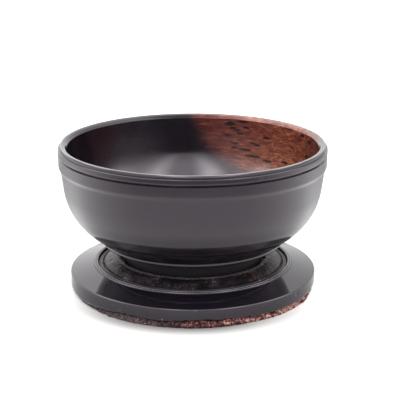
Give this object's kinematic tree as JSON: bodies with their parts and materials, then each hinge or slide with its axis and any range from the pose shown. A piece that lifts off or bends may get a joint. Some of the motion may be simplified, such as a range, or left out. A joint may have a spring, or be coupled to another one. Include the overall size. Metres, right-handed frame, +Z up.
{
  "type": "turned wooden bowl on stand",
  "caption": "Lathe-turned black wooden bowl with a rounded rim bead, standing loose on a low round bark-backed wooden stand.",
  "frame": {"origin": "on the turning axis, at the level that the stand rests on", "axes": "+Z up along the turning axis; the view of the reference is along +Y with +X to the right; the bark is thickest 30 degrees in front of +X"},
  "size_m": [0.1204, 0.1204, 0.0666],
  "materials": {
    "bowl_wood": "polished",
    "stand_wood": "polished",
    "collar_wood": "rough turned",
    "peg_wood": "plain",
    "bark": "rough natural bark"
  },
  "bodies": {
    "stand": {"stand_plate": "stand_wood", "seat_collar": "collar_wood", "bark_rind": "bark"},
    "peg": {"centring_peg": "peg_wood"},
    "bowl": {"bowl": "bowl_wood"}
  },
  "joints": [
    {"name": "bowl_turn", "type": "hinge", "parent": "stand", "child": "peg", "pos_m": [0, 0, 0.0103], "axis": [0, 0, 1], "continuous": true},
    {"name": "bowl_lift", "type": "slide", "parent": "peg", "child": "bowl", "axis": [0, 0, 1], "range_m": [0, 0.04]}
  ]
}
